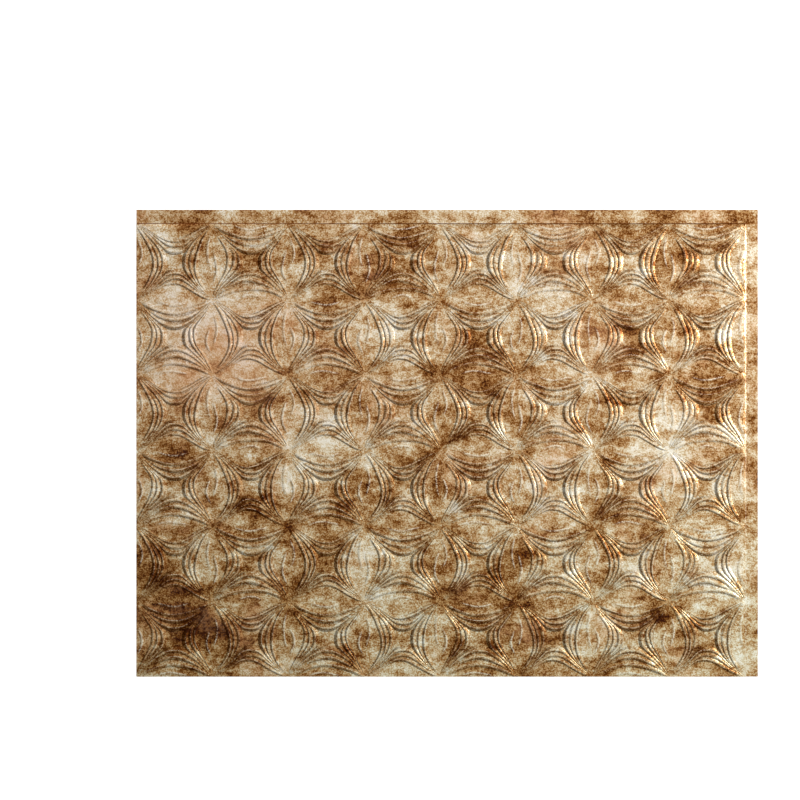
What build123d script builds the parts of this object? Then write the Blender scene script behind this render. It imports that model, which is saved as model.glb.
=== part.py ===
"""Thin formed vinyl backsplash panel, lying face up.

One sheet of PVC, drawn over a mould. The field stands proud of the wall as a lattice of
petals, and between every four petals a four-pointed star goes back down to the wall.
Two adjoining edges keep a flat lap flange, and the other two are cut through the lattice.
X runs along the length, Y up the wall, Z out of the wall. The origin is at the middle of
the sheet's outline, on the plane of the wall.
"""
from build123d import *
from math import radians, sin, tan
import os

# Lattice: one cell lies between four neighbouring nodes
CELL_WIDTH = 75.4
CELL_HEIGHT = 74.7
CELLS_ACROSS = 8
CELLS_UP = 6

# Flat lap flanges, measured from the last row of nodes to the cut edge
LAP_RIGHT = 12.8
LAP_TOP = 14.6

# Formed section: sheet thickness, height of the field over the flanges, slope of the walls
SHEET = 0.8
RISE = 1.6
WALL_ANGLE = 60.0

# Star, on the face of the field: middle to tip, angle of its points, and the rounding of
# the petal shoulders between them
STAR_REACH = 23.0
POINT_ANGLE = 38.0
SHOULDER = 10.0

# Sizes that follow from these
FIELD_WIDTH = CELL_WIDTH * CELLS_ACROSS
FIELD_HEIGHT = CELL_HEIGHT * CELLS_UP
PANEL_WIDTH = FIELD_WIDTH + LAP_RIGHT
PANEL_HEIGHT = FIELD_HEIGHT + LAP_TOP
LEFT = -PANEL_WIDTH / 2
BOTTOM = -PANEL_HEIGHT / 2
FACE = SHEET + RISE

# A formed wall moves sideways by this much for each millimetre it climbs
DRAFT = 1 / tan(radians(WALL_ANGLE))
# A bend sets the back of the sheet off sideways from its front by this much
BEND_SET = SHEET * tan(radians(WALL_ANGLE) / 2)


def star(grow):
    """Outline of a star, every side moved outwards by grow.

    Each point is a wedge about the line from the cell's middle to a node. The notch
    between two neighbouring points lies on an axis of the cell and is rounded.
    """
    towards_node = Vector(CELL_WIDTH, CELL_HEIGHT).normalized()
    half_point = POINT_ANGLE / 2
    tip = towards_node * (STAR_REACH + grow / sin(radians(half_point)))
    steep = towards_node.rotate(Axis.Z, half_point)
    shallow = towards_node.rotate(Axis.Z, -half_point)
    notch_x = tip.X - tip.Y * steep.X / steep.Y
    notch_y = tip.Y - tip.X * shallow.Y / shallow.X
    outline = make_face(Polyline(
        (notch_x, 0), (tip.X, tip.Y), (0, notch_y), (-tip.X, tip.Y),
        (-notch_x, 0), (-tip.X, -tip.Y), (0, -notch_y), (tip.X, -tip.Y), close=True))
    notches = outline.vertices().sort_by_distance((0, 0, 0))[:4]
    return fillet(notches, SHOULDER - grow)


def field(grow):
    """Outline of the raised field, its two lap sides moved outwards by grow.

    The other two sides run past the sheet, which is cut to size at the end.
    """
    spare = LAP_RIGHT + LAP_TOP
    outline = Rectangle(
        FIELD_WIDTH + grow + spare, FIELD_HEIGHT + grow + spare, align=(Align.MAX, Align.MAX))
    return Pos(LEFT + FIELD_WIDTH + grow, BOTTOM + FIELD_HEIGHT + grow) * outline


def drawn(outline, level, depth):
    """Solid over an outline at a level, or under it for a negative depth, narrowing at the wall angle."""
    body = extrude(outline, amount=abs(depth), taper=90 - WALL_ANGLE)
    if depth < 0:
        body = mirror(body, about=Plane.XY)
    return Pos(0, 0, level) * body


# The lap lines run halfway up the wall that carries the field
wall_foot = DRAFT * RISE / 2
sheet = Pos(0, 0, SHEET / 2) * Box(PANEL_WIDTH, PANEL_HEIGHT, SHEET)
sheet += drawn(field(wall_foot), SHEET, RISE)
sheet -= drawn(field(wall_foot - BEND_SET + DRAFT * SHEET), -SHEET, FACE)

# Star cups: their outsides go on first, then their hollows are taken out
cup = drawn(star(BEND_SET + DRAFT * SHEET / 2), FACE - SHEET / 2, SHEET / 2 - FACE)
hollow = drawn(star(DRAFT * SHEET), FACE + SHEET, -FACE)
cells = GridLocations(CELL_WIDTH, CELL_HEIGHT, CELLS_ACROSS, CELLS_UP)
field_middle = Pos(LEFT + FIELD_WIDTH / 2, BOTTOM + FIELD_HEIGHT / 2)
sheet += [field_middle * cell * cup for cell in cells]
sheet -= [field_middle * cell * hollow for cell in cells]

# Cut to size
blank = Pos(0, 0, FACE / 2) * Box(PANEL_WIDTH, PANEL_HEIGHT, FACE)
backsplash_panel = sheet & blank

os.makedirs("parts", exist_ok=True)
export_step(backsplash_panel, "parts/backsplash_panel.step")
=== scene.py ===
import math

import bpy
import numpy as np
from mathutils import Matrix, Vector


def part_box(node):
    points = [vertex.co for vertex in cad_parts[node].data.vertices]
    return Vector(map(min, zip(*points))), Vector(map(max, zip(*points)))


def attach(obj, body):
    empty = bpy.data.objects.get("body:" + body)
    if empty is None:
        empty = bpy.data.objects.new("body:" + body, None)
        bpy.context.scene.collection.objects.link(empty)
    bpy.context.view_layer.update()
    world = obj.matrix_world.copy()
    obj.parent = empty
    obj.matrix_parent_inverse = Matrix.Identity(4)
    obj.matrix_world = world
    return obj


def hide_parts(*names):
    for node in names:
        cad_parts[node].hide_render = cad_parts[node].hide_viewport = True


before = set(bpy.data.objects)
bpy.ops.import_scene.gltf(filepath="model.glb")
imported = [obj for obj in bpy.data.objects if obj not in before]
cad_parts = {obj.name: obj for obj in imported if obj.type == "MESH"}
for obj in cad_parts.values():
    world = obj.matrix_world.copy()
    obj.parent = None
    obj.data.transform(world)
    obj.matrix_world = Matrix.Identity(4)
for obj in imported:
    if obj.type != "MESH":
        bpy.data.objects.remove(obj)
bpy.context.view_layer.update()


# Panel
# One sheet of rigid vinyl, drawn hot over a mould and trimmed. Four-pointed stars lie low
# between petals that carry raised ribs, laid as if by hand. Two edges keep a flat flange that
# the next panel laps over. The face has a mottled bronze film, and the back is bare vinyl.
mm = 0.001
hair = 0.001 * mm
low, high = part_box("backsplash_panel")
left, bottom = low[0], low[1]
right, top, crest_level = high[0], high[1], high[2]
sheet = 0.8 * mm
bend = 0.4 * mm
cells_across, cells_up = 8, 6
lap_x = right - 12.8 * mm
lap_y = top - 14.6 * mm
lap_wall = 0.9 * mm
cell_width = (lap_x - left) / cells_across
cell_height = (lap_y - bottom) / cells_up
steps_along = 18

# Petals, and the stars between them. Those with a full side are arches, and those with a side
# that is drawn in towards the nodes are bells.
petal_level = 1.56 * mm
petal_crown = 0.08 * mm
petal_half_width = 29.4 * mm
petal_rounding = 2.0 * mm
petal_share = 0.985
petal_blunting = 0.06
middle_bow, bow_reach = 0.018, 0.8
star_wall = 0.9 * mm
star_tip, star_full = 0.35, 0.65

# Ribs: their height, the half width under which they are lower, their sections as shares of
# the half width, and how much the hand that laid them wavered
rib_height = crest_level - petal_level - petal_crown
rib_full = 1.5 * mm
rib_thinning = 0.7
rib_taper = 0.1
lens_pull = 0.8
bell_flare = 1.7
strand_section = np.array([-1.0, -0.68, 0.0, 0.68, 1.0])
curl_section = np.array([-1.4, -1.0, 0.0, 1.0, 1.4])
wave_height, wave_turns = 0.03, 1.3
level_waver, end_waver = 0.02, 0.05
fade_depth, fade_turns = 0.18, 0.8

# Painted shade, above 0, in grooves, on rib sides and on walls; painted highlight, below 0, on crests and
# the right lap
strand_shade, curl_shade, edge_shade, wall_shade, top_lap_shade = 0.9, 0.6, 0.65, 0.5, 5.0
strand_highlight, curl_highlight, right_lap_highlight = -0.5, -0.9, -0.4

# Ribs on half a petal, from its axis outwards. Each has its level as a share of the way to
# the petal's edge, its two ends along the petal, how far it leans towards one of them, how much
# it curls in at both, and half its width. Those that curl are short and lie inside. The others
# are strands that lie side by side, with narrow grooves between them.
RIBS = {
    ("lying", "arch"): [
        (0.15, 0.28, 0.72, 0.03, 0.8, 1.9 * mm),
        (0.43, 0.02, 0.98, -0.02, 0.0, 3.2 * mm),
        (0.67, 0.20, 0.84, 0.02, 0.0, 3.4 * mm),
        (0.90, -0.2, 1.2, 0.0, 0.0, 3.4 * mm)],
    ("lying", "bell"): [
        (0.57, 0.04, 0.98, 0.03, 0.0, 2.4 * mm),
        (0.74, -0.2, 0.92, -0.03, 0.0, 2.8 * mm),
        (0.915, -0.2, 1.2, 0.0, 0.0, 2.8 * mm)],
    ("upright", "arch"): [
        (0.20, 0.38, 0.86, -0.05, 0.8, 1.9 * mm),
        (0.59, 0.08, 1.2, 0.03, 0.0, 2.4 * mm),
        (0.755, -0.2, 0.82, 0.04, 0.0, 2.8 * mm),
        (0.915, -0.2, 1.2, 0.0, 0.0, 2.8 * mm)],
    ("upright", "bell"): [
        (0.18, 0.24, 0.66, 0.05, 0.8, 1.9 * mm),
        (0.58, -0.2, 0.9, -0.02, 0.0, 2.4 * mm),
        (0.75, 0.16, 1.2, -0.04, 0.0, 2.8 * mm),
        (0.915, -0.2, 1.2, 0.0, 0.0, 2.8 * mm)],
}


def smooth(start, end, value):
    """Climb from 0 to 1 between start and end along a cubic that is level at both."""
    share = np.clip((value - start) / (end - start), 0.0, 1.0)
    return share * share * (3.0 - 2.0 * share)


def rib_share(own, other):
    """Part of the gap between two ribs that one of them may fill, by their strengths."""
    return 0.05 + 0.9 * own / (own + other + 0.02)


def petal_lines(shape, depth_unit):
    """Lines that bound half a petal, at even steps along its axis from node to node.

    The middle line between the petal and its neighbour is the cell's diagonal, bowed by a half
    sine out from an arch and into a bell. The petal's edge is the softened lesser of that line,
    blunted halfway along, and the petal's half width: minus the log of the sum of both lines'
    negative exponentials.
    Returns the steps, the reach from the nearer node, the middle line's places across and along,
    and the edge.
    """
    axis = np.linspace(0.0, 1.0, steps_along + 1)
    reach = 1.0 - np.abs(2.0 * axis - 1.0)
    bow = middle_bow * np.sin(math.pi * np.minimum(reach / bow_reach, 1.0))
    if shape == "bell":
        bow = -bow
    middle = (reach / 2.0 + bow) * depth_unit
    middle_along = axis - bow * np.sign(0.5 - axis)
    blunt_reach = np.minimum(reach, 1.0 - np.hypot(2.0 * axis - 1.0, petal_blunting))
    blunt_middle = middle + (blunt_reach - reach) / 2.0 * depth_unit
    by_middle = np.exp(-petal_share * blunt_middle / petal_rounding)
    by_width = np.exp(-petal_half_width / petal_rounding)
    edge = np.maximum(-petal_rounding * np.log(by_middle + by_width), 0.0)
    return axis, reach, middle, middle_along, edge


def petal_ribs(kind, shape, axis, edge, hand):
    """Ribs on half a petal, each as five rows across its section.

    A crest is a share of the way to the edge, with a slow sine wave in it. The nearer it is to the
    axis, the more it follows a lens instead: a parabola, and on a bell a power of one. A curled rib
    is drawn in at both ends by a parabola. On either side a rib is as wide as it should be or as
    its part of the gap there. Its height fades at its ends, along a slow sine, and where it is
    narrow. The section of a strand is one less the cube of the place across, and a curled rib's
    is a ridge.
    Returns the rows' places across, their rises, their painted shade and highlight, and how many ribs are
    curled.
    """
    level, start, end, lean, curl, half = np.array(RIBS[kind, shape]).T[:, :, None]
    wave = wave_height * np.sin(2.0 * math.pi * (wave_turns * axis + hand.uniform(size=level.shape)))
    wave = wave + level_waver * hand.uniform(-1.0, 1.0, size=level.shape)
    wave[-1] = 0.0
    start = start + end_waver * hand.uniform(-1.0, 1.0, size=level.shape)
    end = end + end_waver * hand.uniform(-1.0, 1.0, size=level.shape)
    fade_turn = fade_turns * axis + hand.uniform(size=level.shape)

    leaning = axis + lean * np.sin(math.pi * axis)
    lens_share = (1.0 - level) ** lens_pull
    lens = petal_half_width * (4.0 * leaning * (1.0 - leaning)) ** (1.0 if shape == "arch" else bell_flare)
    crest = (level + wave) * ((1.0 - lens_share) * np.interp(leaning, axis, edge) + lens_share * lens)
    along_rib = np.clip((axis - start) / (end - start), 0.0, 1.0)
    crest = crest * (1.0 - curl * (2.0 * along_rib - 1.0) ** 2)

    nothing = np.zeros_like(axis)
    curled = curl > 0.0
    spread = np.where(curled, curl_section[-1], strand_section[-1])
    strength = smooth(start, start + rib_taper, axis) * (1.0 - smooth(end - rib_taper, end, axis))
    inner_gap = crest - np.vstack([nothing, crest[:-1]])
    outer_gap = np.vstack([crest[1:], edge]) - crest
    inner_part = rib_share(strength, np.vstack([nothing, strength[:-1]]))
    outer_part = rib_share(strength, np.vstack([strength[1:], nothing]))
    inner_half = np.minimum(half, inner_gap / spread * inner_part)
    outer_half = np.minimum(half, outer_gap / spread * outer_part)
    narrow = np.clip(np.minimum(inner_half, outer_half) / rib_full, 0.0, 1.0)
    fading = 1.0 - fade_depth + fade_depth * np.sin(2.0 * math.pi * fade_turn)
    lift = strength * fading * narrow ** rib_thinning

    section = np.where(curled, curl_section, strand_section)[:, :, None]
    rise = np.where(curled[:, :, None], 1.0 - np.abs(section), 1.0 - np.abs(section) ** 3)
    widths = np.where(section < 0.0, inner_half[:, None], outer_half[:, None])
    # Painted shade in the grooves and on the rib's sides, and a painted highlight on its crest
    inner_groove = np.where(curled, 0.0, np.vstack([nothing, lift[:-1]]))
    outer_groove = np.where(curled, 0.0, np.vstack([lift[1:], edge_shade + nothing]))
    side = np.broadcast_to(np.where(curled, curl_shade, strand_shade), lift.shape)
    ridge = np.broadcast_to(np.where(curled, curl_highlight, strand_highlight), lift.shape)
    depths = crest[:, None] + section * widths
    rises = lift[:, None] * np.maximum(rise, 0.0)
    shading = lift[:, None] * np.stack([inner_groove, side, ridge, side, outer_groove], axis=1)
    return depths, rises, shading, int(curled.sum())


def petal_side(kind, shape, depth_unit, hand):
    """Half a petal, with the part of the star that lies between it and the middle line.

    Columns run from node to node. Rows run from the axis outwards and never fold back: curled
    ribs, the edge of the flat lens, strands, the petal's edge, a wall, and the star's floor. The
    petal has a low crown, a half sine along it times a parabola across it, and the ribs stand on
    that. The star sinks from its tips to its full depth along a cubic.
    Returns the places along and across, the heights and the painted shade and highlight.
    """
    axis, reach, middle, middle_along, edge = petal_lines(shape, depth_unit)
    rib_depths, rib_rises, rib_shading, inside = petal_ribs(kind, shape, axis, edge, hand)
    nothing = np.zeros_like(axis)
    inside_end = rib_depths[inside - 1, -1] if inside else nothing
    strand_foot = rib_depths[inside, 0]
    lens_edge = strand_foot - np.minimum(bend, 0.5 * (strand_foot - inside_end))
    beyond = middle - edge
    wall_foot = edge + np.minimum(star_wall, 0.5 * beyond)
    floor_start = edge + np.minimum(star_wall + bend, 0.7 * beyond)

    def rows(ribs, lens_row, star_rows):
        """Rows from the axis outwards: curled ribs, edge of the lens, strands, star."""
        return np.vstack([nothing, *ribs[:inside], lens_row, *ribs[inside:], *star_rows])

    depths = rows(rib_depths, lens_edge, [edge, wall_foot, floor_start, middle])
    depths = np.maximum.accumulate(depths, axis=0)
    rises = rows(rib_rises, nothing, 4 * [nothing])
    # Painted shade at the petal's edge and on the star's wall
    shading = rows(rib_shading, nothing, [edge_shade + nothing, wall_shade + nothing, nothing, nothing])
    across = depths / np.maximum(edge, hair)
    crown = petal_crown * np.sin(math.pi * axis) * np.maximum(1.0 - across ** 2, 0.0)
    heights = petal_level + crown + rib_height * rises
    heights[-3:] = petal_level - (petal_level - sheet) * smooth(star_tip, star_full, reach)
    along = axis + (middle_along - axis) * depths / np.maximum(middle, hair)
    return along, depths, heights, shading


points, triangles, shading_marks, face_marks = [], [], [], []


def lay_grids(grids, outwards, shading=0.0, face=False):
    """Add copies of a grid, two triangles to a square.

    They are wound so that the grid as a whole looks outwards: the sum of the triangles' cross
    products points that way.
    """
    copies, rows, columns = grids.shape[:3]
    corner = (np.arange(rows - 1)[:, None] * columns + np.arange(columns - 1)).ravel()
    across, above, beyond = corner + 1, corner + columns, corner + columns + 1
    squares = np.concatenate([np.stack([corner, across, beyond], axis=1),
                              np.stack([corner, beyond, above], axis=1)])
    laid = (np.arange(copies)[:, None, None] * rows * columns + squares).reshape(-1, 3)
    flat = grids.reshape(-1, 3)
    first, second, third = flat[laid].transpose(1, 0, 2)
    looks = np.cross(second - first, third - first).sum(axis=0) @ np.array(outwards, float)
    if looks < 0.0:
        laid = laid[:, ::-1]
    triangles.append(laid + sum(len(block) for block in points))
    points.append(flat)
    shading_marks.append(np.broadcast_to(shading, grids.shape[:3]).ravel())
    face_marks.append(np.full(len(laid), face))


# The petal sides of every cell: the pattern repeats over two cells each way. The back has only
# a petal's axis and the last rows, a sheet thickness under the face.
up, down = (0, 0, 1), (0, 0, -1)
through = np.array([0.0, 0.0, sheet])
back_rows = [0, -4, -3, -1]
hand = np.random.default_rng(5)
for column, row in ((0, 0), (1, 0), (0, 1), (1, 1)):
    lying_shape, upright_shape = ("bell", "arch") if (column + row) % 2 else ("arch", "bell")
    cell_x, cell_y = np.meshgrid(np.arange(column, cells_across, 2), np.arange(row, cells_up, 2))
    corner_x = left + cell_x.ravel() * cell_width
    corner_y = bottom + cell_y.ravel() * cell_height
    corners = np.stack([corner_x, corner_y, np.zeros_like(corner_x)], axis=-1)
    for far in (False, True):
        along, depth, height, lying_shading = petal_side("lying", lying_shape, cell_height, hand)
        lying = np.stack([along * cell_width, cell_height - depth if far else depth, height], axis=-1)
        along, depth, height, upright_shading = petal_side("upright", upright_shape, cell_width, hand)
        upright = np.stack([cell_width - depth if far else depth, along * cell_height, height], axis=-1)
        for side, shading in ((lying, lying_shading), (upright, upright_shading)):
            placed = corners[:, None, None, :] + side
            lay_grids(placed, up, shading, face=True)
            lay_grids(placed[:, back_rows] - through, down)

# Flanges: down a wall from the last axis of the petals, then flat to the cut edge
axis_swell = petal_level + petal_crown * np.sin(math.pi * np.linspace(0.0, 1.0, steps_along + 1))
line_x = np.linspace(left, lap_x, cells_across * steps_along + 1)
line_y = np.linspace(bottom, lap_y, cells_up * steps_along + 1)
swell_x = np.append(np.tile(axis_swell[:-1], cells_across), petal_level)
swell_y = np.append(np.tile(axis_swell[:-1], cells_up), petal_level)
flange_x = np.array([lap_x, lap_x + lap_wall, lap_x + lap_wall + bend, right])
flange_y = np.array([lap_y, lap_y + lap_wall, lap_y + lap_wall + bend, top])
wall_foot_only = np.array([0.0, 1.0, 0.0, 0.0])


def flange(across, upwards, wall_row, wall_top, shading=0.0):
    """Grid at the level of the flange, but for the one row at the top of the wall."""
    x, y = np.meshgrid(across, upwards)
    grid = np.stack([x, y, np.full_like(x, sheet)], axis=-1)
    grid[wall_row + (2,)] = wall_top
    lay_grids(grid[None], up, shading, face=True)
    lay_grids(grid[None] - through, down)
    return grid


whole = slice(None)
# Painted shade at the foot of the top lap wall, and a painted highlight at the foot of the right one
top_flange = flange(line_x, flange_y, (0, whole), swell_x, top_lap_shade * wall_foot_only[:, None])
right_flange = flange(flange_x, line_y, (whole, 0), swell_y, right_lap_highlight * wall_foot_only)
corner_flange = flange(flange_x, flange_y, (0, 0), petal_level)

# Cut edges, as deep as the sheet is thick
left_axis = np.stack([np.full_like(line_y, left), line_y, swell_y], axis=-1)
bottom_axis = np.stack([line_x, np.full_like(line_x, bottom), swell_x], axis=-1)
for cut_ends, outwards in (([left_axis, top_flange[1:, 0]], (-1, 0, 0)),
                           ([bottom_axis, right_flange[0, 1:]], (0, -1, 0)),
                           ([top_flange[-1], corner_flange[-1, 1:]], (0, 1, 0)),
                           ([right_flange[:, -1], corner_flange[1:, -1]], (1, 0, 0))):
    cut = np.concatenate(cut_ends)
    lay_grids(np.stack([cut, cut - through])[None], outwards)

# Points that fall together become one, and triangles that shrink to a line go
weld = 1e-7
all_points = np.concatenate(points)
_, kept, joined = np.unique(np.round(all_points / weld).astype(np.int64), axis=0,
                            return_index=True, return_inverse=True)
panel_points = all_points[kept]
faces = joined.reshape(-1)[np.concatenate(triangles)]
whole_faces = (faces != np.roll(faces, 1, axis=1)).all(axis=1)
faces = faces[whole_faces]
on_face = np.concatenate(face_marks)[whole_faces]
panel_mesh = bpy.data.meshes.new("formed_panel")
panel_mesh.from_pydata(panel_points.tolist(), [], faces.tolist())
panel_mesh.polygons.foreach_set("use_smooth", on_face)
panel_mesh.polygons.foreach_set("material_index", np.where(on_face, 0, 1).astype(np.int32))
panel_mesh.set_sharp_from_angle(angle=math.radians(80.0))
panel = bpy.data.objects.new("formed_panel", panel_mesh)
bpy.context.collection.objects.link(panel)

# Dabs of the sponge: where the film was left pale, rubbed dark or given a blush, in millimetres
# from the panel's middle, with how far each spreads and how strong it is
PALE_DABS = [(-240, 128, 38, 1.3), (-200, 78, 28, 0.9), (-60, 112, 36, 0.8), (90, 126, 38, 1.0),
             (134, 68, 30, 0.8), (-122, 2, 36, 0.9), (-160, -32, 24, 0.5), (212, 8, 34, 1.0),
             (240, -18, 34, 1.0), (120, -52, 28, 0.7), (72, -34, 20, 0.5), (-84, -122, 36, 0.7),
             (-58, -178, 40, 0.5), (-230, -134, 28, 0.7), (126, -130, 30, 0.7), (132, -192, 28, 0.6),
             (266, -126, 38, 0.9), (292, -184, 36, 0.6), (288, 168, 36, 0.6), (40, 216, 46, 0.7),
             (-274, 92, 36, 0.6), (-176, 146, 30, 0.5)]
DARK_DABS = [(-30, 198, 28, 1.0), (-66, 168, 26, 0.9), (-104, 150, 24, 0.6), (34, 84, 34, 1.2),
             (-92, 64, 26, 0.9), (-188, 44, 22, 0.8), (-186, 174, 22, 0.6), (168, 88, 28, 0.8),
             (234, 180, 20, 0.7), (262, 60, 28, 0.9), (168, 30, 18, 0.7), (14, -10, 32, 0.8),
             (-194, -66, 32, 1.0), (-96, -62, 32, 0.9), (160, -68, 26, 0.9), (280, -16, 20, 0.8),
             (-262, -172, 46, 1.9), (-292, -116, 30, 1.0), (-152, -146, 26, 0.8), (-204, -206, 34, 0.9),
             (0, -138, 24, 0.9), (34, -164, 26, 0.8), (88, -204, 34, 1.2), (80, -106, 26, 0.7),
             (204, -164, 28, 0.6), (242, -204, 28, 0.6), (-282, 4, 28, 0.6), (170, 196, 26, 0.6),
             (-240, 232, 26, 0.7), (-130, 230, 30, 0.7), (120, 232, 30, 0.7), (236, 230, 32, 0.7),
             (-96, -204, 36, 0.6), (58, -144, 36, 0.5), (-128, -100, 30, 0.5)]
BLUSH_DABS = [(-262, 64, 34, 1.0), (-214, 100, 40, 1.0), (-196, 62, 30, 0.7), (-268, 128, 34, 0.6),
              (-120, 96, 30, 0.4), (122, 190, 26, 0.5), (150, 96, 28, 0.4)]
middle_x, middle_y = (left + right) / 2.0, (bottom + top) / 2.0


def dabbed(dabs):
    """Sum of soft round dabs at the panel's points: each falls off as a bell curve with distance."""
    dab_x, dab_y, spread, strength = np.array(dabs, float).T[:, :, None]
    x = (panel_points[:, 0] - middle_x) / mm
    y = (panel_points[:, 1] - middle_y) / mm
    apart = np.hypot(x - dab_x, y - dab_y) / spread
    return (strength * np.exp(-apart ** 2)).sum(axis=0)


# The first mark is painted light: painted shade above 0 and painted highlight below 0
marks = {"flank": np.concatenate(shading_marks)[kept],
         "tone": dabbed(PALE_DABS) - dabbed(DARK_DABS),
         "blush": dabbed(BLUSH_DABS)}
for name, values in marks.items():
    mark = panel_mesh.attributes.new(name, "FLOAT", "POINT")
    mark.data.foreach_set("value", values.astype(np.float32))


class Shade:
    """A value in a material: an operator on it adds a Math node, and node adds any other."""

    def __init__(self, tree, socket=None):
        self.tree = tree
        self.socket = socket

    def node(self, kind, settings=None, inputs=None, output=0):
        """Add a node: its settings first, then the values or links of its sockets."""
        made = self.tree.nodes.new(kind)
        for name, value in (settings or {}).items():
            if name == "stops":
                ramp = made.color_ramp.elements
                for place, _ in value[len(ramp):]:
                    ramp.new(place)
                for element, (place, colour) in zip(ramp, value):
                    element.position = place
                    element.color = colour
            else:
                setattr(made, name, value)
        for name, value in (inputs or {}).items():
            if isinstance(value, Shade):
                value.into(made.inputs[name])
            else:
                made.inputs[name].default_value = value
        return Shade(self.tree, made.outputs[output])

    def into(self, socket):
        """Feed this value to a socket."""
        self.tree.links.new(self.socket, socket)

    def operate(self, operation, *values):
        """Add a Math node."""
        return self.node("ShaderNodeMath", {"operation": operation}, dict(enumerate(values)))

    def __add__(self, other):
        return self.operate("ADD", self, other)

    def __radd__(self, other):
        return self.operate("ADD", other, self)

    def __sub__(self, other):
        return self.operate("SUBTRACT", self, other)

    def __rsub__(self, other):
        return self.operate("SUBTRACT", other, self)

    def __mul__(self, other):
        return self.operate("MULTIPLY", self, other)

    def __rmul__(self, other):
        return self.operate("MULTIPLY", other, self)

    def between(self, start, end):
        """Climb from 0 to 1 as the value goes from start to end."""
        return self.node("ShaderNodeMapRange", {"interpolation_type": "SMOOTHSTEP"},
                         {"Value": self, "From Min": start, "From Max": end})

    def noise(self, scale, detail, roughness):
        """Random value about 0 at a place, with features 1 / scale metres wide."""
        return self.node("ShaderNodeTexNoise", None, {
            "Vector": self, "Scale": scale, "Detail": detail, "Roughness": roughness}) - 0.5

    def mark(self, name):
        """Value of one of the mesh's own attributes."""
        return self.node("ShaderNodeAttribute", {"attribute_name": name}, output=2)

    def mixed(self, other, share, way="MIX"):
        """This colour with a share of another, laid over it or multiplied into it."""
        return self.node("ShaderNodeMix", {"data_type": "RGBA", "blend_type": way},
                         {0: share, 6: self, 7: other}, output=2)


def paint(red, green, blue):
    """Colour given as on a paint chart, 0 to 255, as the shader's linear values."""
    chart = np.array([red, green, blue]) / 255.0
    linear = np.where(chart <= 0.04045, chart / 12.92, ((chart + 0.055) / 1.055) ** 2.4)
    return (*linear.tolist(), 1.0)


def finish(name):
    """New material: itself, a Shade to start its nodes from, and its shader's sockets."""
    material = bpy.data.materials.new(name)
    material.use_nodes = True
    return material, Shade(material.node_tree), material.node_tree.nodes["Principled BSDF"].inputs


# Bronze film: mottled from dark to pale by summed noises and the dabs, with a blush in places,
# brown painted shade in the grooves, on rib sides and along the top lap, pale painted highlights
# on the crests and the right lap wall, and a greener cast towards the bottom
bronze_stops = [(0.0, paint(54, 14, 0)), (0.25, paint(122, 67, 12)), (0.5, paint(187, 142, 89)),
                (0.75, paint(225, 205, 169)), (1.0, paint(250, 242, 226))]
# Peach for the blush, a brown for painted shade and a pale colour for painted highlights
peach, shade_umber, highlight_cream = paint(222, 160, 116), paint(92, 40, 0), paint(250, 240, 220)
green_cast = (0.91, 0.985, 0.97, 1.0)
smear_slant, smear_squeeze = math.radians(-38.0), 2.6

film, shade, film_sockets = finish("bronze_film")
place = shade.node("ShaderNodeTexCoord", output=3)
upwards = shade.node("ShaderNodeSeparateXYZ", None, {0: place}, output=1)
streaked = shade.node("ShaderNodeMapping", None, {
    "Vector": place, "Rotation": (0.0, 0.0, smear_slant), "Scale": (1.0, smear_squeeze, 1.0)})
flank = shade.mark("flank")
rosy = place.noise(14.0, 3.0, 0.6)
clouds = place.noise(30.0, 2.0, 0.5)
ragged = place.noise(60.0, 8.0, 0.78)
smears = streaked.noise(24.0, 9.0, 0.74)
clumps = place.noise(260.0, 3.0, 0.8)
grit = place.noise(800.0, 1.0, 0.6)
grain = clumps + grit * 0.6
specks = grain.between(-0.08, 0.08)
mottling = clouds * 0.65 + ragged + smears * 1.5 + specks * 0.2 + grit * 0.45
bronze = shade.mark("tone") * 0.2 + mottling + 0.437
blushing = (rosy + clumps * 0.6).between(0.0, 0.3) * 0.35 + shade.mark("blush") * 0.3
# Shares of the painted shade and the painted highlight, broken up by the specks
shade_share = (0.6 - specks * 0.4) * (rosy * 1.6 + 0.95)
highlight_share = (0.25 + specks * 0.4) * bronze.between(0.0, 0.5)
colour = shade.node("ShaderNodeValToRGB", {"stops": bronze_stops}, {"Fac": bronze})
colour = colour.mixed(peach, blushing)
# Painted shade in brown, deepest along the top lap wall
colour = colour.mixed(shade_umber, flank.between(0.0, 1.0) * shade_share)
colour = colour.mixed(shade_umber, (flank - 1.0).between(0.0, 0.8) * 0.75)
# Painted pale highlight on the crests and the right lap wall
colour = colour.mixed(highlight_cream, (flank * -2.0).between(0.1, 1.0) * highlight_share)
colour = colour.mixed(green_cast, (0.1 - upwards).between(0.0, 0.34), "MULTIPLY")
colour.into(film_sockets["Base Color"])
(0.32 + ragged * 0.3).into(film_sockets["Roughness"])
film_sockets["Metallic"].default_value = 0.7
film_sockets["Specular IOR Level"].default_value = 0.08
film_sockets["Coat Weight"].default_value = 0.05
film_sockets["Coat Roughness"].default_value = 0.2
bumps = shade.node("ShaderNodeBump", None, {"Strength": 0.35, "Distance": 0.3 * mm, "Height": grain})
bumps.into(film_sockets["Normal"])

# Bare vinyl of the back and the cut edges, a little cloudy
bare_stops = [(0.3, paint(126, 110, 92)), (0.7, paint(150, 134, 114))]
bare, shade, bare_sockets = finish("bare_vinyl")
cloud = shade.node("ShaderNodeTexCoord", output=3).noise(60.0, 4.0, 0.6)
bare_colour = shade.node("ShaderNodeValToRGB", {"stops": bare_stops}, {"Fac": cloud + 0.5})
bare_colour.into(bare_sockets["Base Color"])
bare_sockets["Roughness"].default_value = 0.5

panel_mesh.materials.append(film)
panel_mesh.materials.append(bare)
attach(panel, "root")
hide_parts("backsplash_panel")


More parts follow.
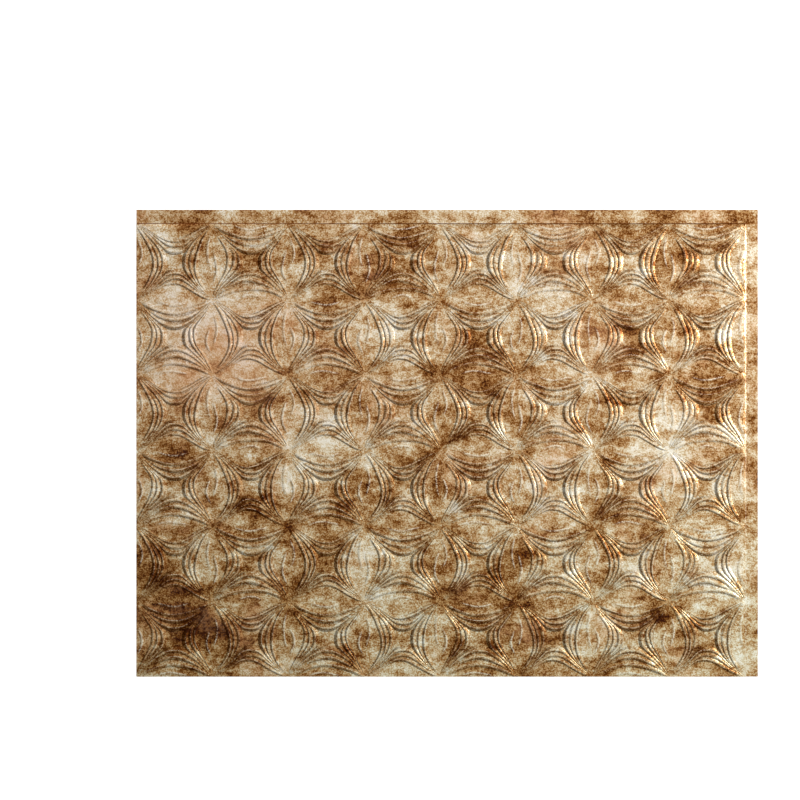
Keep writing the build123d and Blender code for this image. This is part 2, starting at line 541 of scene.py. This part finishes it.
# Floor
# A plain white sheet that the panel lies on. It glows towards the eye and in reflections, so
# that it shows white, and it keeps the panel's shadow.
floor_reach = 30.0
floor_white, floor_glow = 0.8, 0.8
floor_corners = floor_reach * np.array([(-1, -1, 0), (1, -1, 0), (1, 1, 0), (-1, 1, 0)])
floor_mesh = bpy.data.meshes.new("white_floor")
floor_mesh.from_pydata(floor_corners.tolist(), [], [(0, 1, 2, 3)])
floor = bpy.data.objects.new("white_floor", floor_mesh)
bpy.context.collection.objects.link(floor)
white, shade, white_sockets = finish("white_floor")
white_sockets["Base Color"].default_value = (floor_white, floor_white, floor_white, 1.0)
white_sockets["Roughness"].default_value = 0.9
camera_ray, glossy_ray, clear_ray = (shade.node("ShaderNodeLightPath", output=ray) for ray in (0, 3, 6))
glow = (camera_ray + glossy_ray + clear_ray).between(0.0, 1.0) * floor_glow
glow_colour = shade.node("ShaderNodeCombineColor", None, {0: glow, 1: glow, 2: glow})
glow_colour.into(white_sockets["Emission Color"])
white_sockets["Emission Strength"].default_value = 1.0
floor_mesh.materials.append(white)


# Studio
# A lamp at the right rakes across the ribs, and a weaker one stands beyond the top edge. The sky
# is bright overhead, a little to the right, and pale again low down, which lights the panel for
# a view from the side. The camera looks straight down.
def soft_lamp(name, place, size, power):
    """Square lamp at a place, facing the panel's middle."""
    lamp = bpy.data.lights.new(name, "AREA")
    lamp.size = size
    lamp.energy = power
    stand = bpy.data.objects.new(name, lamp)
    stand.location = place
    x, y, z = place
    stand.rotation_euler = (0.0, math.atan2(math.hypot(x, y), z), math.atan2(y, x))
    bpy.context.collection.objects.link(stand)


soft_lamp("right_lamp", (0.95, 0.25, 0.75), size=0.3, power=5.0)
soft_lamp("top_lamp", (-0.40, 1.25, 0.9), size=0.35, power=1.0)

dim_sky, bright_sky, low_sky = 0.04, 1.22, 0.5
sky_tilt, sky_turn = math.radians(26.0), math.radians(28.0)
brightest = (math.sin(sky_tilt) * math.cos(sky_turn),
             math.sin(sky_tilt) * math.sin(sky_turn),
             math.cos(sky_tilt))
studio = bpy.data.worlds.new("studio")
studio.use_nodes = True
sky = Shade(studio.node_tree)
direction = sky.node("ShaderNodeTexCoord")
towards = sky.node("ShaderNodeVectorMath", {"operation": "DOT_PRODUCT"},
                   {0: direction, 1: brightest}, output=1)
height = sky.node("ShaderNodeSeparateXYZ", None, {0: direction}, output=2)
brightness = dim_sky + bright_sky * towards.between(0.6, 0.98) + low_sky * (0.65 - height).between(0.0, 0.3)
sky_sockets = studio.node_tree.nodes["Background"].inputs
sky_sockets["Color"].default_value = (1.0, 1.0, 1.0, 1.0)
brightness.into(sky_sockets["Strength"])
bpy.context.scene.world = studio

image_pixels = 800.0
panel_pixels = 622.0
panel_middle = (447.2, 443.2)
pixel = (right - left) / panel_pixels
camera_data = bpy.data.cameras.new("camera")
camera_data.lens = 85.0
camera_data.sensor_width = 36.0
camera = bpy.data.objects.new("camera", camera_data)
camera.location = ((image_pixels / 2.0 - panel_middle[0]) * pixel,
                   (panel_middle[1] - image_pixels / 2.0) * pixel,
                   crest_level + image_pixels * pixel * camera_data.lens / camera_data.sensor_width)
bpy.context.collection.objects.link(camera)
bpy.context.scene.camera = camera
bpy.context.scene.view_settings.view_transform = "Standard"
